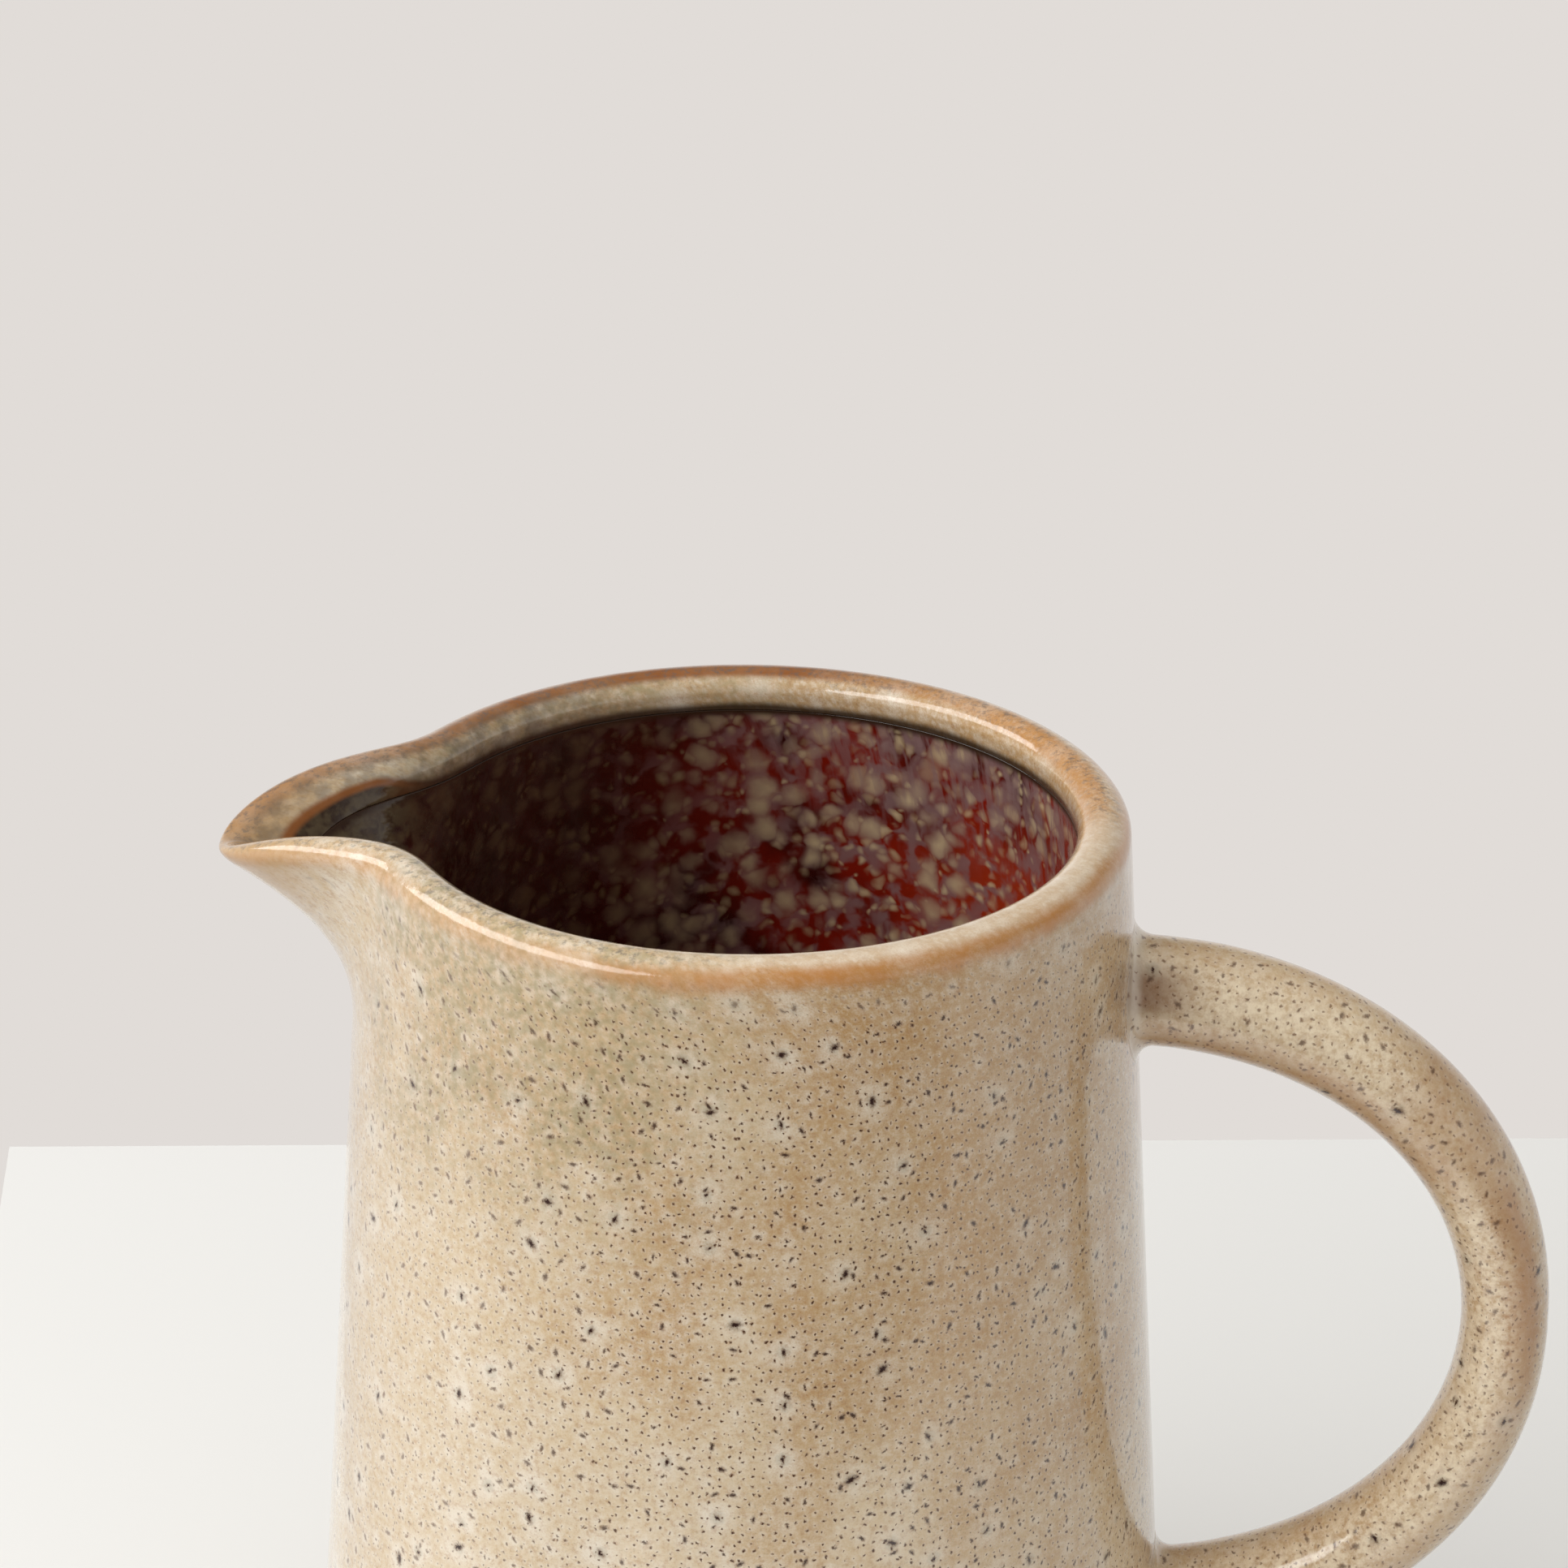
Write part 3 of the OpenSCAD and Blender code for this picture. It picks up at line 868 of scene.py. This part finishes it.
def handle_rust(g, around, crossing):
    """Rust on the inner side high up, on the outer side lower down, and right over where they cross."""
    inner = g.times(g.step(around, -0.05, -0.26), g.between(g.step(g.along, 4.0, 6.5), 0.6, 0.15))
    outer = g.times(g.step(around, 0.06, 0.2), g.step(around, 0.5, 0.36), g.step(g.along, 3.5, 5.5))
    outer = g.times(outer, g.between(g.step(g.along, 7.5, 10.5), 0.68, 0.3))
    patches = g.step(g.noise(g.place, per_cm=1.4, detail=3.0), 0.3, 0.6)
    return g.times(g.most(inner, outer, g.between(crossing, 0.15, 0.5)), g.between(patches, 0.6, 1.0))


# Red glaze and clay

def red_glaze():
    """Oxblood liner glaze broken by cream-grey blotches with mauve edges, with painted shade on the spout's
    side of the inside and painted light on the handle's side.
    """
    g = GlazeGraph("red_glaze")
    # Painted shade: the spout's side of the inside, where the light does not reach, goes near-black
    painted_shade = g.step(g.across, 1.8, -3.0)
    clouds = g.step(g.noise(g.place, per_cm=0.7, detail=3.0, roughness=0.55), 0.42, 0.72)
    # Painted light: a lighter red on the handle's side of the inside, below the rim, where the light falls
    painted_light = g.times(g.step(g.across, 1.2, 3.6), g.step(g.along, 0.6, 2.0))
    colour = g.mix(clouds, RED, DEEP_RED)
    colour = g.paint(colour, PAINTED_LIGHT_RED, painted_light)
    colour = g.paint(colour, PAINTED_SHADE_BROWN, painted_shade, share=0.95)
    colour = red_edges(g, red_blotches(g, colour, painted_shade))
    roughness = g.between(g.noise(g.place, per_cm=3.0), 0.08, 0.18)
    g.glassy(LINER_COAT)
    return g.finish(colour, roughness, g.noise(g.place, per_cm=5.0), GLAZE_BUMP, GLAZE_BUMP_DEPTH)


def red_blotches(g, colour, painted_shade):
    """Round blotches of two sizes in a mauve haze, darker and fainter as painted shade on the spout's side.
    """
    warped = g.warped(g.warped(g.place, per_cm=3.0, amount=0.25), per_cm=9.0, amount=0.06)
    wide, little = g.blobs(warped, per_cm=2.5), g.blobs(warped, per_cm=5.0)
    strength = g.between(g.step(g.noise(g.place, per_cm=1.6), 0.3, 0.65), 0.45, 1.0)
    haze = g.most(g.step(wide, 0.75, 0.3), g.step(g.noise(warped, per_cm=3.2), 0.44, 0.62))
    blotches = g.most(g.step(wide, 0.66, 0.05), g.times(g.step(little, 0.64, 0.04), 0.9))
    # Painted shade: less haze and darker, fainter blotches on the spout's side
    colour = g.paint(colour, MAUVE, g.times(haze, strength), share=g.between(painted_shade, 0.8, 0.08))
    blotch_colour = g.mix(painted_shade, BLOTCH, BLOTCH_IN_PAINTED_SHADE)
    return g.paint(colour, blotch_colour, g.times(blotches, strength), share=g.between(painted_shade, 0.95, 0.7))


def red_edges(g, colour):
    """Mauve runs at the top, dark olive in the spout, and a dark line at the dip line."""
    runs = g.noise(g.vector("MULTIPLY", g.skin, (1, 0.22, 1)), per_cm=6.0, detail=3.0)
    top = g.times(g.step(g.along, 2.2, 0.2), g.step(runs, 0.42, 0.6), g.step(g.across, -1.5, 2.0))
    spout = g.times(g.step(g.across, -3.6, -5.0), g.step(g.along, 1.6, 0.4))
    colour = g.paint(colour, MAUVE, top, share=0.7)
    colour = g.paint(colour, DARK_OLIVE, spout, share=dark_patches(g))
    return g.paint(colour, DARK_LINE, g.step(g.along, 0.14, 0.02))


def bare_clay(name, light, dark):
    """Fired clay without glaze, with fine grog."""
    g = Graph(name)
    grog = g.noise(g.place, per_cm=22.0)
    colour = g.mix(g.step(g.noise(g.place, per_cm=1.5, detail=4.0), 0.35, 0.7), light, dark)
    colour = g.paint(colour, dark, g.step(grog, 0.6, 0.72), share=0.6)
    return g.finish(colour, g.between(grog, 0.65, 0.85), grog, strength=0.3, distance=0.0004)


def table_white():
    """Matt white table with a trace of unevenness."""
    g = Graph("table_white")
    cloud = g.noise(g.place, per_cm=0.05)
    return g.finish(g.mix(cloud, WARM_WHITE, WHITE), TABLE_ROUGHNESS, cloud, strength=0.02, distance=0.001)


# Stage

def make_table():
    corners = [(-TABLE_LEFT, -TABLE_FRONT, 0), (TABLE_RIGHT, -TABLE_FRONT, 0),
               (TABLE_RIGHT, TABLE_BACK, 0), (-TABLE_LEFT, TABLE_BACK, 0)]
    turn = Matrix.Rotation(TABLE_TURN, 3, "Z")
    mesh = bpy.data.meshes.new("table")
    mesh.from_pydata([turn @ Vector(p) for p in corners], [], [(0, 1, 2, 3)])
    mesh.materials.append(table_white())
    table = bpy.data.objects.new("table", mesh)
    bpy.context.scene.collection.objects.link(table)


def make_world():
    """A pale wall for the camera, darker in reflections from above, and soft light from a window."""
    world = bpy.data.worlds.new("studio")
    bpy.context.scene.world = world
    world.use_nodes = True
    world.node_tree.nodes.clear()
    n = Nodes(world.node_tree)
    direction = n.add("ShaderNodeTexCoord").outputs["Generated"]
    path = n.add("ShaderNodeLightPath").outputs
    upward = n.dot(direction, TOP_SIDE)
    to_window = n.dot(direction, Vector(WINDOW_SIDE).normalized())
    to_room = n.dot(direction, Vector(ROOM_SIDE).normalized())

    window = n.between(n.step(to_window, 0.0, 1.0), SHADE_LIGHT, WINDOW_LIGHT)
    top = n.between(n.step(upward, *TOP_SPREAD), 0.0, TOP_LIGHT)
    ceiling = n.between(n.step(upward, *CEILING_SPREAD), 1.0, CEILING)
    room = n.between(n.step(to_room, *ROOM_SPREAD), 1.0, ROOM)
    wall_light = n.most(path["Is Camera Ray"], n.times(ceiling, room))
    shows_wall = n.most(path["Is Camera Ray"], path["Is Glossy Ray"])

    soft = n.add("ShaderNodeBackground", {"Color": LIGHT_COLOUR, "Strength": n.plus(window, top)})
    wall = n.add("ShaderNodeBackground", {"Color": WALL_GREY, "Strength": wall_light})
    both = n.add("ShaderNodeMixShader", {0: shows_wall, 1: soft.outputs[0], 2: wall.outputs[0]})
    n.add("ShaderNodeOutputWorld", {0: both.outputs[0]})


def make_lamp():
    """The strip lamp, turned to its aim."""
    data = bpy.data.lights.new("strip", "AREA")
    data.shape = "RECTANGLE"
    data.size, data.size_y = LAMP_SIZE
    data.energy = LAMP_WATTS
    lamp = bpy.data.objects.new("strip", data)
    lamp.location = LAMP_PLACE
    lamp.rotation_euler = (Vector(LAMP_AIM) - Vector(LAMP_PLACE)).to_track_quat("-Z", "Y").to_euler()
    bpy.context.scene.collection.objects.link(lamp)


def make_camera():
    """The photograph's camera: the middle of the rim lies at RIM_PIXEL, CAMERA_DISTANCE away."""
    flat = math.cos(CAMERA_PITCH)
    forward = Vector((-math.sin(CAMERA_TURN) * flat, math.cos(CAMERA_TURN) * flat, -math.sin(CAMERA_PITCH)))
    level = Vector((math.cos(CAMERA_TURN), math.sin(CAMERA_TURN), 0))
    upright = level.cross(forward)
    right = level * math.cos(CAMERA_ROLL) + upright * math.sin(CAMERA_ROLL)
    up = upright * math.cos(CAMERA_ROLL) - level * math.sin(CAMERA_ROLL)
    across, down = ((p - PHOTO_PX / 2) / FOCAL_PX for p in RIM_PIXEL)
    ray = (forward + right * across - up * down).normalized()
    data = bpy.data.cameras.new("camera")
    data.sensor_width = SENSOR_MM
    data.lens = SENSOR_MM * FOCAL_PX / PHOTO_PX
    data.clip_start = NEAR_CLIP
    camera = bpy.data.objects.new("camera", data)
    camera.matrix_world = Matrix((right, up, -forward)).transposed().to_4x4()
    camera.location = Vector((0, 0, BODY_H)) - ray * CAMERA_DISTANCE
    bpy.context.scene.collection.objects.link(camera)
    bpy.context.scene.camera = camera


# Assembly

def dress(piece, material, node):
    """A piece that stands for a CAD node rides on the jug's only body."""
    piece.data.materials.append(material)
    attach(piece, "root")
    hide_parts(node)


def recolour(node, material):
    """A CAD node that keeps its shape gets a better material."""
    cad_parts[node].data.materials.clear()
    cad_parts[node].data.materials.append(material)


def main():
    clay = bare_clay("bare_clay", CLAY, DARK_CLAY)
    slip = bare_clay("slip", SLIP, DARK_SLIP)
    dress(make_clay_body(), clay, "clay_body")
    dress(make_body_glaze(), cream_body(), "body_glaze")
    dress(make_handle_glaze(), cream_handle(), "handle_glaze")
    dress(make_liner_glaze(), red_glaze(), "liner_glaze")
    recolour("handle", clay)
    recolour("upper_luting", slip)
    recolour("lower_luting", slip)
    make_table()
    make_world()
    make_lamp()
    make_camera()
    bpy.context.scene.view_settings.view_transform = "Standard"


main()
